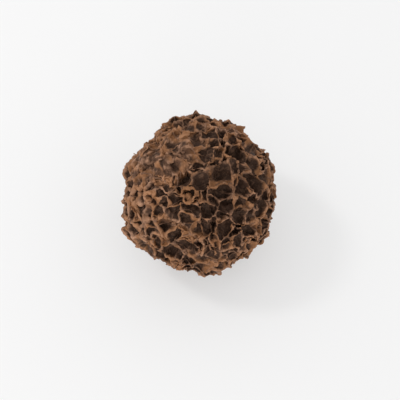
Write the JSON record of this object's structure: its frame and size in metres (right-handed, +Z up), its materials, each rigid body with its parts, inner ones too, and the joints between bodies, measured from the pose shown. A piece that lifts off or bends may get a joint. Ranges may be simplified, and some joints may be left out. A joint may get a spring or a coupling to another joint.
{
  "type": "chocolate truffle",
  "caption": "Round chocolate truffle with a coat of thin ridges and deep pits, standing on a small flat foot.",
  "frame": {"origin": "middle of the outline, at the level of the flat foot that the truffle stands on", "axes": "+Z up out of the foot, -Y towards the front, where the coat is torn open, and -X towards the smeared side"},
  "size_m": [0.028, 0.029, 0.0267],
  "materials": {
    "chocolate": "dull set chocolate, pale brown along the ridges and near black in the pits"
  },
  "bodies": {
    "root": {"truffle": "chocolate"}
  },
  "joints": []
}
